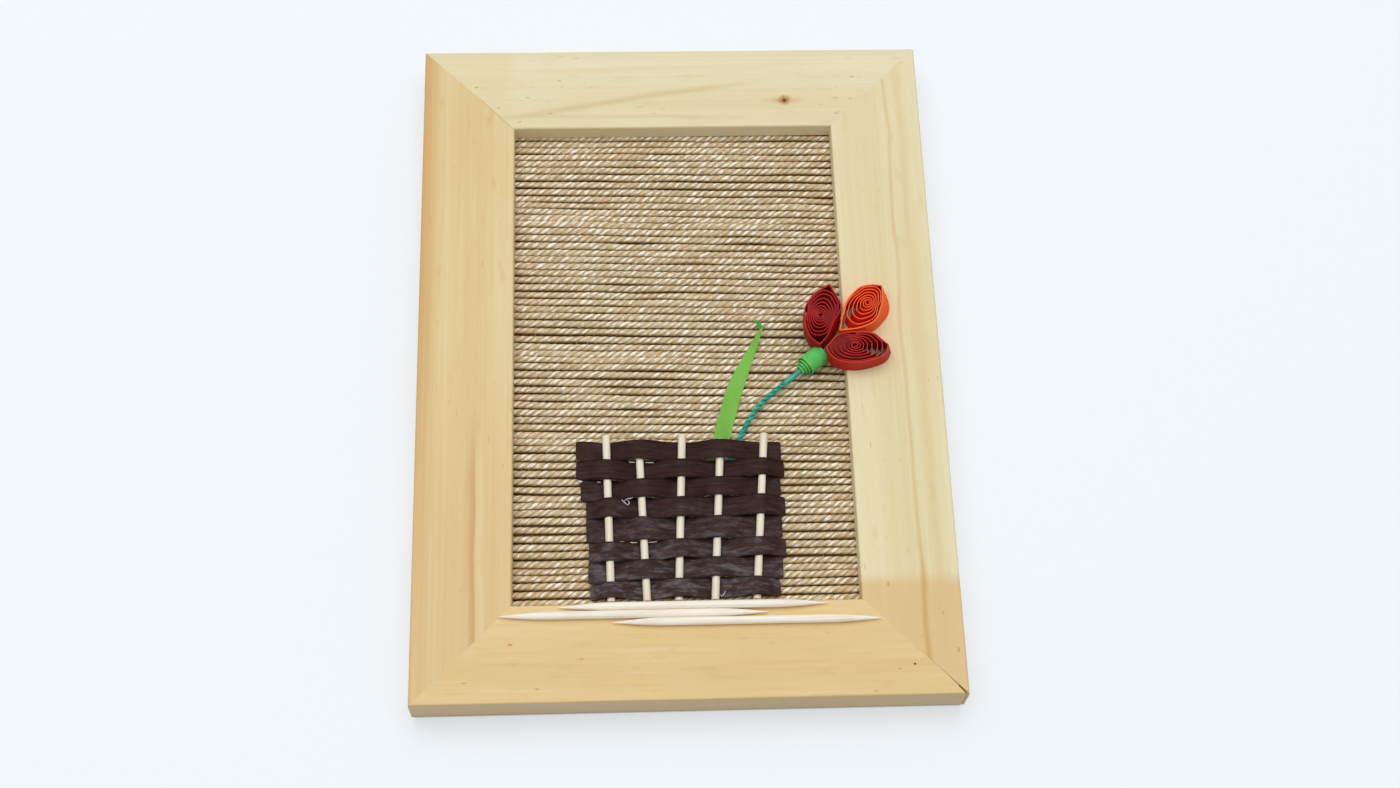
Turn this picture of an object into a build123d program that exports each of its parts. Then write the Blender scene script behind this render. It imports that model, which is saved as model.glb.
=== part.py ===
from build123d import *
import os
from math import atan, cos, pi, radians, sin, sqrt, tan

# Framed quilled paper art, lying on its back: a mitred pine frame holds a board wound with twine,
# a basket of woven paper strips stands on the twine, and a quilled flower leans onto the right rail.
# Millimetres. The origin is the centre of the back face, +X is to the picture's right,
# +Y is up the picture and +Z comes out of its front.

# Pine frame
frame_width = 132.0
frame_height = 180.0
frame_thickness = 12.0
rail_width = 24.0
rebate_width = 4.0
front_edge_round = 0.6
back_edge_round = 2.5
mitre_gap_width = 0.6
mitre_gap_length = 9.0

# V-nails that hold the mitres together from behind
v_nail_leg = 5.0
v_nail_thickness = 0.5
v_nail_height = 6.0
v_nail_setback = 8.0

# Steel points that hold the wound board in the rebate
point_width = 6.0
point_grip = 6.0
point_reach = 7.0
point_thickness = 0.5
point_recess = 0.4
point_spacing = 80.0

# Board and the twine wound round it
board_thickness = 2.0
twine_diameter = 2.0
twine_spacing = 2.06
winding_clearance = 0.5
winding_play = 0.1
seat_gap = 0.1

# Woven basket: places of the five stakes along the rim and along the foot, left to right
stake_rim_x = (-18.9, -10.8, -0.1, 9.5, 20.3)
stake_foot_x = (-18.2, -9.6, -1.9, 6.9, 17.0)
stake_diameter = 2.0
basket_foot_gap = 1.9
stake_rise_behind = 2.3
stake_rise_before = 0.9
stake_drop = 0.5
strip_rows = 8
strip_width = 4.85
strip_gap = 0.24
strip_thickness = 0.3
strip_overhang_rim = 7.4
strip_overhang_foot = 4.8
strip_overhang_right = 5.2
weave_clearance = 0.06

# Toothpicks on the lower rail
pick_length = 64.8
pick_diameter = 2.0
pick_taper = 9.0
pick_tip_diameter = 0.6
pick_clearance = 0.05
pick_shifts = (1.3, -13.1, 14.3)

# Leaf: a tapered paper strip with a folded tip
leaf_width = 4.1
leaf_tip_width = 1.0
leaf_thickness = 0.25
leaf_beside_stake = -1.1
leaf_tuck = 4.2
leaf_length = 35.6
leaf_tip_gap = 8.7
leaf_bow = 1.4
leaf_rise = 1.2
leaf_fold_back = 1.4
leaf_fold_length = 2.1

# Stem wire
stem_diameter = 1.4
stem_clearance = 0.05
stem_beside_stake = 2.5
stem_tuck = 4.4
stem_foot_heading = 63.9
stem_foot_run = 15.7
stem_neck = 4.5
stem_bend_radius = 28.0
stem_knee_rise = 0.5

# Rolled paper calyx
calyx_heading = 39.0
calyx_drum_length = 5.7
calyx_wall = 0.5
calyx_cup_depth = 3.5
calyx_steps = 3
calyx_step_length = 0.8
calyx_reach = 1.2

# Quilled petals
petal_length = 17.0
petal_height = 5.0
petal_wall = 0.45
petal_gap = 0.25
quill_thickness = 0.3
quill_turns = 3.6
quill_start = 0.16
quill_end = 0.86

# Each petal: heading from +X, how far its two sides bulge, and its coil's core as shares of its length
upper_heading = 48.3
upper_bulges = (4.3, 5.5)
upper_core = (0.66, 0.05)
upper_foot_inset = 1.8
upper_foot_rise = 26.6
left_heading = 79.3
left_bulges = (5.0, 3.8)
left_core = (0.60, 0.06)
left_foot_rise = 22.5
lower_heading = 1.5
lower_bulges = (4.4, 4.1)
lower_core = (0.50, 0.05)
lower_foot_inset = 6.1

# Worked out from the sizes above
opening_half_width = frame_width / 2 - rail_width
opening_half_height = frame_height / 2 - rail_width
winding_thickness = board_thickness + 2 * twine_diameter
winding_back = point_recess + point_thickness + winding_play
winding_front = winding_back + winding_thickness
winding_middle = (winding_back + winding_front) / 2
shoulder_height = winding_front + winding_play
board_width = 2 * (opening_half_width + rebate_width - winding_clearance - twine_diameter)
board_height = 2 * (opening_half_height + rebate_width - winding_clearance)
twine_turns = int(board_height // twine_spacing)

stake_radius = stake_diameter / 2
row_spacing = strip_width + strip_gap
basket_foot = -opening_half_height + basket_foot_gap
basket_rim = basket_foot + strip_rows * row_spacing - strip_gap

calyx_radius = (frame_thickness - winding_front) / 2 - seat_gap
calyx_height = winding_front + seat_gap + calyx_radius

os.makedirs("parts", exist_ok=True)


def save(piece, name):
    """Label a finished piece and write it to its own file."""
    piece.part.label = name
    export_step(piece.part, f"parts/{name}.step")


def draw_v_nails():
    """Draw a V across each mitre in the open sketch, with its point towards the corner."""
    half = v_nail_thickness / 2
    for turn, side_x, side_y in ((0, -1, -1), (90, 1, -1), (180, 1, 1), (270, -1, 1)):
        apex = (
            side_x * (frame_width / 2 - v_nail_setback),
            side_y * (frame_height / 2 - v_nail_setback),
        )
        with Locations(Location((apex[0], apex[1], 0), turn)):
            Polygon(
                (-half, -half), (v_nail_leg, -half), (v_nail_leg, half),
                (half, half), (half, v_nail_leg), (-half, v_nail_leg), align=None,
            )


def draw_points():
    """Draw the flat steel points in the open sketch: each is driven into a rail by its sharp end."""
    rebate_x = opening_half_width + rebate_width
    rebate_y = opening_half_height + rebate_width
    half = point_width / 2
    places = [(90, 0, rebate_y), (270, 0, -rebate_y)]
    for y in (point_spacing / 2, -point_spacing / 2):
        places += [(0, rebate_x, y), (180, -rebate_x, y)]
    for turn, x, y in places:
        with Locations(Location((x, y, 0), turn)):
            Polygon(
                (-point_reach, -half / 2), (0, -half), (point_grip - half, -half),
                (point_grip, 0), (point_grip - half, half), (0, half), (-point_reach, half / 2), align=None,
            )


# Rails: one rebated section, run along each side of the frame and cut to its mitres
rail_sides = (
    ("frame_rail_bottom", 0, frame_width / 2, frame_height / 2),
    ("frame_rail_right", 90, frame_height / 2, frame_width / 2),
    ("frame_rail_top", 180, frame_width / 2, frame_height / 2),
    ("frame_rail_left", 270, frame_height / 2, frame_width / 2),
)
for rail_name, turn, half_length, reach in rail_sides:
    along = Vector(1, 0, 0).rotate(Axis.Z, turn)
    inward = Vector(0, 1, 0).rotate(Axis.Z, turn)
    outer_edge = inward * -reach
    with BuildPart() as rail:
        with BuildSketch(Plane(origin=outer_edge, x_dir=inward, z_dir=along)) as section:
            with BuildLine():
                Polyline(
                    (0, 0), (rail_width - rebate_width, 0), (rail_width - rebate_width, shoulder_height),
                    (rail_width, shoulder_height), (rail_width, frame_thickness), (0, frame_thickness),
                    close=True,
                )
            make_face()
            fillet(section.vertices().group_by(Axis.Y)[-1], front_edge_round)
            fillet(section.vertices().group_by(Axis.Y)[0].sort_by(Axis.X)[0], back_edge_round)
        extrude(amount=half_length, both=True)
        for end in (1, -1):
            corner = outer_edge + along * (end * half_length)
            split(bisect_by=Plane(origin=corner, z_dir=along * end + inward), keep=Keep.BOTTOM)
        with BuildSketch(Plane.XY):
            draw_v_nails()
        extrude(amount=v_nail_height, mode=Mode.SUBTRACT)
        with BuildSketch(Plane.XY.offset(point_recess)):
            draw_points()
        extrude(amount=point_thickness, mode=Mode.SUBTRACT)
        if rail_name == "frame_rail_bottom":
            # The lower right mitre stands open at its outer end
            gap_run = mitre_gap_length / sqrt(2)
            with BuildSketch(Plane.XY):
                with BuildLine():
                    Polyline(
                        (frame_width / 2, -frame_height / 2),
                        (frame_width / 2 - gap_run, -frame_height / 2 + gap_run),
                        (frame_width / 2 - mitre_gap_width * sqrt(2), -frame_height / 2),
                        close=True,
                    )
                make_face()
            extrude(amount=frame_thickness, mode=Mode.SUBTRACT)
    save(rail, rail_name)

with BuildPart() as corner_v_nails:
    with BuildSketch(Plane.XY):
        draw_v_nails()
    extrude(amount=v_nail_height)
save(corner_v_nails, "corner_v_nails")

with BuildPart() as retaining_points:
    with BuildSketch(Plane.XY.offset(point_recess)):
        draw_points()
    extrude(amount=point_thickness)
save(retaining_points, "retaining_points")

with BuildPart() as back_board:
    with Locations((0, 0, winding_middle)):
        Box(board_width, board_height, board_thickness)
save(back_board, "back_board")

# Twine: a ridge for each turn across both faces of the board, and a rolled edge where it turns round it
twine_radius = twine_diameter / 2
winding_half_height = twine_turns * twine_spacing / 2
ridge_facets = 4
with BuildPart() as twine_winding:
    with BuildSketch(Plane.YZ.offset(-board_width / 2)):
        with BuildLine():
            for valley, bulge in (
                (winding_front - twine_radius, twine_radius),
                (winding_back + twine_radius, -twine_radius),
            ):
                ridges = [(-winding_half_height, valley)]
                for turn in range(twine_turns):
                    middle = (turn + 0.5) * twine_spacing - winding_half_height
                    for facet in range(1, ridge_facets + 1):
                        angle = pi * facet / ridge_facets
                        across = twine_spacing / 2 * cos(angle)
                        ridges.append((middle - across, valley + bulge * sin(angle)))
                Polyline(*ridges)
            for end in (-winding_half_height, winding_half_height):
                Line((end, winding_back + twine_radius), (end, winding_front - twine_radius))
        make_face()
    extrude(amount=board_width)
    with BuildSketch(Plane.XZ.offset(-winding_half_height)) as edge_rolls:
        for side in (-1, 1):
            with Locations((side * (board_width + twine_diameter) / 2, winding_middle)):
                Rectangle(twine_diameter, winding_thickness)
        fillet(edge_rolls.vertices().group_by(Axis.X)[0], twine_diameter - seat_gap)
        fillet(edge_rolls.vertices().group_by(Axis.X)[-1], twine_diameter - seat_gap)
    extrude(amount=2 * winding_half_height)
    with Locations((0, 0, winding_middle)):
        Box(board_width, board_height, board_thickness, mode=Mode.SUBTRACT)
save(twine_winding, "twine_winding")


def stake_x(number, height):
    """Place across the picture of a stake's axis where it passes the given height."""
    up = (height - basket_foot) / (basket_rim - basket_foot)
    return stake_foot_x[number] + (stake_rim_x[number] - stake_foot_x[number]) * up


stake_count = len(stake_rim_x)
leaf_stake = stake_count - 2
wrap_radius = stake_radius + weave_clearance + strip_thickness / 2


def weave_row(row):
    """Bends of one strip as (place across, height off the weave's middle), and its left and right ends."""
    middle = basket_rim - row * row_spacing - strip_width / 2
    up = (middle - basket_foot) / (basket_rim - basket_foot)
    overhang_left = strip_overhang_foot + (strip_overhang_rim - strip_overhang_foot) * up
    crossings = [stake_x(number, middle) for number in range(stake_count)]
    ends = (crossings[0] - overhang_left, crossings[-1] + strip_overhang_right)
    bends = []
    for number, x in enumerate(crossings):
        in_front = (number + row) % 2 == 1
        before = crossings[number - 1] if number else ends[0]
        after = crossings[number + 1] if number + 1 < stake_count else ends[1]
        lies_flat = number in (0, stake_count - 1) and not in_front
        steep = 0 if lies_flat else atan(2 * wrap_radius / min(x - before, after - x))
        lean = abs(stake_x(number, middle + strip_width / 2) - x)
        height = (wrap_radius + lean * sin(steep)) / cos(steep)
        bends.append((x, height if in_front else -height))
    return bends, ends


# The weave lies on the twine, and its middle is high enough for the stem to pass behind the rim strip
weave_depth = max(-height for row in range(strip_rows) for x, height in weave_row(row)[0])
weave_room = max(weave_depth, stem_diameter + weave_clearance) + strip_thickness / 2
weave_middle = winding_front + seat_gap + weave_room

stake_sides = 16
for number in range(stake_count):
    rise = stake_rise_before if number % 2 else stake_rise_behind
    low_y = basket_foot - stake_drop
    high_y = basket_rim + rise
    foot = Vector(stake_x(number, low_y), low_y, weave_middle)
    head = Vector(stake_x(number, high_y), high_y, weave_middle)
    with BuildPart() as stake:
        with BuildSketch(Plane(origin=foot, z_dir=head - foot)):
            RegularPolygon(stake_radius, stake_sides)
        extrude(amount=(head - foot).length)
    save(stake, f"basket_stake_{number + 1}")

# Strips: each runs behind one stake and in front of the next, with its ends laid back on the twine
for row in range(strip_rows):
    bends, ends = weave_row(row)
    path = [(x, weave_middle + height) for x, height in bends]
    path = [(ends[0], weave_middle - weave_depth), *path, (ends[1], weave_middle - weave_depth)]
    with BuildPart() as strip:
        with BuildSketch(Plane.XZ.offset(row * row_spacing - basket_rim)):
            with BuildLine():
                FilletPolyline(*path, radius=wrap_radius)
            trace(line_width=strip_thickness)
        extrude(amount=strip_width)
    save(strip, f"basket_strip_{row + 1}")

# Toothpicks: many-sided sticks, pointed at both ends, side by side on the lower rail's front face
pick_radius = pick_diameter / 2
pick_sides = 12
pick_stations = (
    (0, pick_tip_diameter / 2), (pick_taper, pick_radius),
    (pick_length - pick_taper, pick_radius), (pick_length, pick_tip_diameter / 2),
)
for order, pick_name in enumerate(("toothpick_upper", "toothpick_lower_left", "toothpick_lower_right")):
    pick_x = pick_shifts[order] - pick_length / 2
    pick_y = -opening_half_height - pick_radius - order * (pick_diameter + pick_clearance)
    with BuildPart() as pick:
        for distance, radius in pick_stations:
            station = (pick_x + distance, pick_y, frame_thickness + pick_radius)
            with BuildSketch(Plane(origin=station, x_dir=(0, 1, 0), z_dir=(1, 0, 0))):
                RegularPolygon(radius, pick_sides)
        loft(ruled=True)
    save(pick, pick_name)


def petal_side(foot, heading, bulge, side):
    """Centre and radius of the circle that carries a petal's left (1) or right (-1) side."""
    along = (cos(radians(heading)), sin(radians(heading)))
    radius = (petal_length**2 / 4 + bulge**2) / (2 * bulge)
    offset_left = side * (bulge - radius)
    centre_x = foot[0] + along[0] * petal_length / 2 - along[1] * offset_left
    centre_y = foot[1] + along[1] * petal_length / 2 + along[0] * offset_left
    return centre_x, centre_y, radius


# The upper petal is set first, and the other two slide up to it until their walls nearly touch
upper_foot = (opening_half_width - upper_foot_inset, basket_rim + upper_foot_rise)
upper_left = petal_side(upper_foot, upper_heading, upper_bulges[0], 1)
upper_right = petal_side(upper_foot, upper_heading, upper_bulges[1], -1)
left_foot_y = basket_rim + left_foot_rise
left_side = petal_side((0, left_foot_y), left_heading, left_bulges[1], -1)
left_span = upper_left[2] + left_side[2] + petal_gap
left_foot_x = upper_left[0] - left_side[0] - sqrt(left_span**2 - (upper_left[1] - left_side[1]) ** 2)
lower_foot_x = opening_half_width - lower_foot_inset
lower_side = petal_side((lower_foot_x, 0), lower_heading, lower_bulges[0], 1)
lower_span = upper_right[2] + lower_side[2] + petal_gap
lower_foot_y = upper_right[1] - lower_side[1] - sqrt(lower_span**2 - (upper_right[0] - lower_side[0]) ** 2)
left_foot = (left_foot_x, left_foot_y)
lower_foot = (lower_foot_x, lower_foot_y)


def wall_distance(core, angle, bulges):
    """Distance from the coil's core to the petal's wall along an angle, rounded off at the tips."""
    roundness = 6
    total = 0.0
    for bulge, side in ((bulges[0], 1), (bulges[1], -1)):
        centre_x, centre_y, radius = petal_side((0, 0), 0, bulge, side)
        away_x = core[0] - centre_x
        away_y = core[1] - centre_y
        across = away_x * cos(angle) + away_y * sin(angle)
        reach = sqrt(across**2 - away_x**2 - away_y**2 + radius**2) - across
        total += reach**-roundness
    return total ** (-1 / roundness)


def quill_edge(core, bulges, offset):
    """Points along one face of the coiled strip: the petal's own outline, growing turn by turn.

    The last run leaves the coil and ends in the middle of the petal's wall.
    """
    facets_per_turn = 18
    steps = int(quill_turns * facets_per_turn)
    leaving_angle = radians(25)
    stations = [
        (2 * pi * step / facets_per_turn, quill_start + (quill_end - quill_start) * step / steps)
        for step in range(steps + 1)
    ]
    stations.append((stations[-1][0] + leaving_angle, 1.0))
    points = []
    for angle, share in stations:
        radius = share * (wall_distance(core, angle, bulges) - petal_wall / 2) + offset
        points.append((core[0] + radius * cos(angle), core[1] + radius * sin(angle)))
    return points


petals = (
    ("petal_upper", upper_foot, upper_heading, upper_bulges, upper_core),
    ("petal_left", left_foot, left_heading, left_bulges, left_core),
    ("petal_lower", lower_foot, lower_heading, lower_bulges, lower_core),
)
for petal_name, foot, heading, bulges, core_share in petals:
    direction = (cos(radians(heading)), sin(radians(heading)), 0)
    core = (core_share[0] * petal_length, core_share[1] * petal_length)
    with BuildPart() as petal:
        with BuildSketch(Plane(origin=(*foot, frame_thickness), x_dir=direction, z_dir=(0, 0, 1))):
            with BuildLine():
                ThreePointArc((0, 0), (petal_length / 2, bulges[0]), (petal_length, 0))
                ThreePointArc((0, 0), (petal_length / 2, -bulges[1]), (petal_length, 0))
            make_face()
            offset(amount=-petal_wall, kind=Kind.INTERSECTION, mode=Mode.SUBTRACT)
            with BuildLine():
                outside = Polyline(*quill_edge(core, bulges, quill_thickness / 2))
                inside = Polyline(*quill_edge(core, bulges, -quill_thickness / 2))
                Line(outside @ 0, inside @ 0)
                Line(outside @ 1, inside @ 1)
            make_face()
        extrude(amount=petal_height)
    save(petal, petal_name)

# Calyx: a rolled strip pushed out in steps, open at the mouth and bored for the stem
calyx_axis = Vector(cos(radians(calyx_heading)), sin(radians(calyx_heading)), 0)
feet_middle = Vector((left_foot[0] + lower_foot[0]) / 2, (left_foot[1] + lower_foot[1]) / 2, calyx_height)
calyx_mouth = feet_middle + calyx_axis * calyx_reach
calyx_bore = stem_diameter / 2 + stem_clearance
calyx_length = calyx_drum_length + calyx_steps * calyx_step_length
calyx_tail = calyx_mouth - calyx_axis * calyx_length
step_depth = (calyx_radius - calyx_bore - calyx_wall) / calyx_steps
outline = [(0, calyx_radius - calyx_wall), (0, calyx_radius), (calyx_drum_length, calyx_radius)]
for step in range(1, calyx_steps + 1):
    step_start = calyx_drum_length + (step - 1) * calyx_step_length
    outline.append((step_start, calyx_radius - step * step_depth))
    outline.append((step_start + calyx_step_length, calyx_radius - step * step_depth))
outline += [(calyx_length, calyx_bore), (calyx_cup_depth, calyx_bore)]
outline += [(calyx_cup_depth, calyx_radius - calyx_wall)]
with BuildPart() as calyx:
    calyx_side = calyx_axis.cross(Vector(0, 0, 1))
    with BuildSketch(Plane(origin=calyx_mouth, x_dir=calyx_axis * -1, z_dir=calyx_side)):
        with BuildLine():
            Polyline(*outline, close=True)
        make_face()
    revolve(axis=Axis(calyx_mouth, calyx_axis))
save(calyx, "flower_calyx")

# Leaf: a curved band seen from the side, cut to the leaf's outline seen from the front
leaf_foot_x = stake_rim_x[leaf_stake] + leaf_beside_stake
leaf_foot_y = basket_rim - leaf_tuck
leaf_tip_y = leaf_foot_y + leaf_length
leaf_tip_x = calyx_tail.X - leaf_tip_gap
leaf_middle_x = (leaf_foot_x + leaf_tip_x) / 2 - leaf_bow
leaf_middle_y = leaf_foot_y + leaf_length / 2
leaf_base = winding_front + seat_gap + leaf_thickness / 2
with BuildPart() as leaf:
    with BuildSketch(Plane.YZ):
        with BuildLine():
            ThreePointArc(
                (leaf_foot_y, leaf_base), (leaf_middle_y, leaf_base + leaf_rise / 4),
                (leaf_tip_y + leaf_fold_length, leaf_base + leaf_rise),
            )
        trace(line_width=leaf_thickness)
    extrude(amount=frame_width / 2, both=True)
    with BuildSketch(Plane.XY):
        with BuildLine():
            left_edge = ThreePointArc(
                (leaf_foot_x - leaf_width / 2, leaf_foot_y),
                (leaf_middle_x - leaf_width / 2, leaf_middle_y),
                (leaf_tip_x - leaf_tip_width / 2, leaf_tip_y),
            )
            Polyline(
                left_edge @ 1, (leaf_tip_x - leaf_fold_back, leaf_tip_y + leaf_fold_length),
                (leaf_tip_x + leaf_tip_width / 2, leaf_tip_y),
            )
            right_edge = ThreePointArc(
                (leaf_tip_x + leaf_tip_width / 2, leaf_tip_y),
                (leaf_middle_x + leaf_width / 2, leaf_middle_y),
                (leaf_foot_x + leaf_width / 2, leaf_foot_y),
            )
            Line(right_edge @ 1, left_edge @ 0)
        make_face()
    extrude(amount=frame_thickness, mode=Mode.INTERSECT)
save(leaf, "leaf_strip")

# Stem: stiff wire from behind the basket's rim, bent up to the calyx and run into its bore
stem_radius = stem_diameter / 2
stem_sides = 12
stem_foot_x = stake_rim_x[leaf_stake] + stem_beside_stake
stem_foot = Vector(stem_foot_x, basket_rim - stem_tuck, winding_front + seat_gap + stem_radius)
stem_head = calyx_mouth - calyx_axis * calyx_cup_depth
stem_rising = Vector(stem_foot_run, 0, stem_knee_rise).rotate(Axis.Z, stem_foot_heading)
stem_route = (stem_foot, stem_foot + stem_rising, calyx_tail - calyx_axis * stem_neck, stem_head)
stem_radii = []
for before, corner, after in zip(stem_route, stem_route[1:], stem_route[2:]):
    half_turn = radians((corner - before).get_angle(after - corner)) / 2
    room = 0.45 * min((corner - before).length, (after - corner).length) / tan(half_turn)
    stem_radii.append(min(stem_bend_radius, room))
with BuildPart() as stem:
    with BuildLine() as stem_path:
        FilletPolyline(*stem_route, radius=stem_radii)
    with BuildSketch(Plane(origin=stem_path.line @ 0, z_dir=stem_path.line % 0)):
        RegularPolygon(stem_radius, stem_sides)
    sweep()
save(stem, "flower_stem")
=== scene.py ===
from math import pi, radians, tau

import bpy
import numpy as np
from mathutils import Matrix, Vector


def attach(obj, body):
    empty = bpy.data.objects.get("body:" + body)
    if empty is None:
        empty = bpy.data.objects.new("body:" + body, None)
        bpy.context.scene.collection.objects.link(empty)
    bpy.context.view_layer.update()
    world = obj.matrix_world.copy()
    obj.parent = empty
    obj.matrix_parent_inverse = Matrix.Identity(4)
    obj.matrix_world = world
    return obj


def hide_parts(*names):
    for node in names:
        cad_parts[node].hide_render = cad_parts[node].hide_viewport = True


# Looks of the framed quilled paper art: sanded pine rails, a board wound with jute twine, a basket woven
# from paper strips, three toothpicks, a paper leaf and a quilled flower on a twisted wire.
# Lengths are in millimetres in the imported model's frame, and become metres when a piece's mesh is filled.

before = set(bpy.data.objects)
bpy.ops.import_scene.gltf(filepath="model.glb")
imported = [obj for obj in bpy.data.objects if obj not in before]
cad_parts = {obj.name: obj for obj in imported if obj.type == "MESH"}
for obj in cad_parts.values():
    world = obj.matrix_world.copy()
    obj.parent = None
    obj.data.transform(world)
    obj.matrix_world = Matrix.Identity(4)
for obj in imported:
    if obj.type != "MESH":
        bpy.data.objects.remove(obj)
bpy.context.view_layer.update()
bpy.context.scene.view_settings.view_transform = "Standard"
chance = np.random.default_rng(11)

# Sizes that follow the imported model
front_face = 12.0
board_half_width = 43.5
twine_middle = 4.0
twine_front = 6.0
twine_pitch = 2.06
twine_turns = 67
twine_radius = 0.98
weave_middle = 8.71
stake_rim = np.array([-18.9, -10.8, -0.1, 9.5, 20.3])
stake_foot = np.array([-18.2, -9.6, -1.9, 6.9, 17.0])
basket_rim = -23.62
basket_foot = -64.1
row_spacing = 5.09
strip_half_width = 2.4
stake_radius = 0.97
petal_height = 4.95
mitre_gap_inner_end = np.array([59.64, -83.64])
mitre_gap_run = np.array([5.935, -6.36])
mitre_gap_width = 0.6

# Direction out of the picture
up = np.array([[0.0, 0.0, 1.0]])


# Meshes

def wander(rows, columns, row_step, column_step):
    """Smooth random sheet: random values on a coarse grid, joined by half cosines in both directions."""
    coarse = chance.standard_normal((int(rows / row_step) + 3, int(columns / column_step) + 3))
    r = np.arange(rows) / row_step
    c = np.arange(columns) / column_step
    r0, c0 = r.astype(int), c.astype(int)
    fr = (1 - np.cos(pi * (r - r0)))[:, None] / 2
    fc = (1 - np.cos(pi * (c - c0)))[None, :] / 2
    low = coarse[r0][:, c0] * (1 - fc) + coarse[r0][:, c0 + 1] * fc
    high = coarse[r0 + 1][:, c0] * (1 - fc) + coarse[r0 + 1][:, c0 + 1] * fc
    return low * (1 - fr) + high * fr


def curve_through(points, count):
    """Smooth curve through given points: each span is a cubic that leaves along its neighbours' chord."""
    p = np.asarray(points, float)
    p = np.vstack([2 * p[0] - p[1], p, 2 * p[-1] - p[-2]])
    t = np.linspace(0, len(p) - 3, count)
    k = np.minimum(t.astype(int), len(p) - 4)
    f = (t - k)[:, None]
    a, b, c, d = p[k], p[k + 1], p[k + 2], p[k + 3]
    return 0.5 * (2 * b + (c - a) * f + (2 * a - 5 * b + 4 * c - d) * f**2 + (3 * b - a - 3 * c + d) * f**3)


def ring_of(sides):
    """Angles of the corners of a ring, from 0."""
    return np.arange(sides) / sides * tau


def lengths_along(path):
    """Running length of a path, from 0 at its first point."""
    return np.concatenate([[0], np.cumsum(np.linalg.norm(np.diff(path, axis=0), axis=1))])


def rings(path, outward, radius, angles, shape=1.0):
    """Profile carried along a path: each ring is drawn on the outward direction and the one square to it.

    Outward is one direction or one for each point, and radius one value or one for each point. Angles and
    shape are one row for all rings or one for each.
    """
    along = np.gradient(path, axis=0)
    along /= np.linalg.norm(along, axis=1, keepdims=True)
    outward = outward - along * np.sum(outward * along, axis=1, keepdims=True)
    outward /= np.linalg.norm(outward, axis=1, keepdims=True)
    sideways = np.cross(along, outward)
    angles = np.broadcast_to(angles, (len(path), np.shape(angles)[-1]))
    reach = np.broadcast_to(np.reshape(radius, (-1, 1)), (len(path), 1)) * shape
    return (
        path[:, None]
        + (reach * np.cos(angles))[..., None] * outward[:, None]
        + (reach * np.sin(angles))[..., None] * sideways[:, None]
    )


def wrap_uv(along, around):
    """UV grid in millimetres: distance along the rows and round the columns, closing column included."""
    return np.stack(np.broadcast_arrays(np.reshape(along, (-1, 1)), np.reshape(around, (1, -1))), -1)


def tube(path, run, radius, sides, girth, shape=1.0):
    """Surface of a tube with cut ends: rings carried along a path that runs across the picture."""
    points = rings(path, up, radius, ring_of(sides), shape)
    return points, wrap_uv(run, np.arange(sides + 1) / sides * girth), "caps"


def piece(name, surfaces, material, replaced=(), sharp=60, attribute=None):
    """One piece from grids of points: rows run along, columns run round and close on themselves.

    Each surface is (points, uv, ends): uv holds one more column than points, ends is "caps" or "joined".
    """
    vertices, corners, sizes, uvs = [], [], [], []
    offset = 0
    for points, uv, ends in surfaces:
        n, m = points.shape[:2]
        i, j = np.meshgrid(np.arange(n if ends == "joined" else n - 1), np.arange(m), indexing="ij")
        i1, j1 = (i + 1) % n, (j + 1) % m
        quads = np.stack([i * m + j, i * m + j1, i1 * m + j1, i1 * m + j], -1).reshape(-1, 4)
        last = np.concatenate([uv, uv[:1]]) if ends == "joined" else uv
        quad_uv = np.stack([last[i, j], last[i, j + 1], last[i + 1, j + 1], last[i + 1, j]], -2)
        corners.append(quads.ravel() + offset)
        sizes.append(np.full(len(quads), 4))
        uvs.append(quad_uv.reshape(-1, 2))
        if ends == "caps":
            first, final = np.arange(m)[::-1], np.arange(m) + (n - 1) * m
            corners.append(np.concatenate([first, final]) + offset)
            sizes.append(np.full(2, m))
            uvs.append(np.concatenate([uv[0, :m][::-1], uv[-1, :m]]))
        vertices.append(points.reshape(-1, 3))
        offset += n * m
    totals = np.concatenate(sizes)
    mesh = bpy.data.meshes.new(name)
    mesh.vertices.add(offset)
    mesh.vertices.foreach_set("co", (np.concatenate(vertices) * 0.001).astype(np.float32).ravel())
    mesh.loops.add(int(totals.sum()))
    mesh.loops.foreach_set("vertex_index", np.concatenate(corners).astype(np.int32))
    mesh.polygons.add(len(totals))
    mesh.polygons.foreach_set("loop_start", np.concatenate([[0], np.cumsum(totals)[:-1]]).astype(np.int32))
    mesh.uv_layers.new(name="UVMap").uv.foreach_set("vector", np.concatenate(uvs).astype(np.float32).ravel())
    if attribute is not None:
        label, values = attribute
        layer = mesh.attributes.new(label, "FLOAT", "POINT")
        layer.data.foreach_set("value", values.astype(np.float32).ravel())
    mesh.update(calc_edges=True)
    mesh.polygons.foreach_set("use_smooth", np.ones(len(totals), bool))
    mesh.set_sharp_from_angle(angle=radians(sharp))
    mesh.materials.append(material)
    made = bpy.data.objects.new(name, mesh)
    bpy.context.scene.collection.objects.link(made)
    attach(made, "root")
    if replaced:
        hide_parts(*replaced)


# Materials

def linear(colour):
    """Linear colour of an sRGB hex value."""
    s = np.array([int(colour[k:k + 2], 16) for k in (1, 3, 5)]) / 255
    return (*np.where(s <= 0.04045, s / 12.92, ((s + 0.055) / 1.055) ** 2.4), 1.0)


def connect(tree, node, inputs):
    """Sets each input of a node by name or number, or links it to another node's live output."""
    for key, value in inputs.items():
        if isinstance(value, bpy.types.Node):
            value = next(socket for socket in value.outputs if socket.enabled)
        if isinstance(value, bpy.types.NodeSocket):
            tree.links.new(value, node.inputs[key])
        else:
            node.inputs[key].default_value = value


def add(tree, kind, inputs, **settings):
    """Adds a shader node with its settings and links."""
    node = tree.nodes.new("ShaderNode" + kind)
    for key, value in settings.items():
        setattr(node, key, value)
    connect(tree, node, inputs)
    return node


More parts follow.
